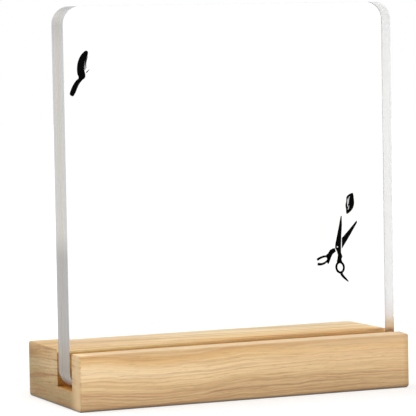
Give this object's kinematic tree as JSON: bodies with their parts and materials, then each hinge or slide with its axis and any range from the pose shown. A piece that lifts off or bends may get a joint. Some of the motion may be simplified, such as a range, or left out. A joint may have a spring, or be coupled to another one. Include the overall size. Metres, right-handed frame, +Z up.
{
  "type": "acrylic desk sign",
  "caption": "Clear square acrylic plate with round corners that stands upright in an open-ended groove along a low solid wood base, and lifts out of it.",
  "frame": {"origin": "middle of the wood base's underside", "axes": "+X along the base to the viewer's right, +Y to the rear, +Z up; the sign faces -Y"},
  "size_m": [0.1, 0.041, 0.1096],
  "materials": {
    "wood": "satin",
    "acrylic": "polished",
    "print": "satin"
  },
  "bodies": {
    "base": {"wood_base": "wood"},
    "plate": {"acrylic_plate": "acrylic"}
  },
  "joints": [
    {"name": "plate_lift", "type": "slide", "parent": "base", "child": "plate", "axis": [0, 0, 1], "range_m": [0, 0.02]}
  ]
}
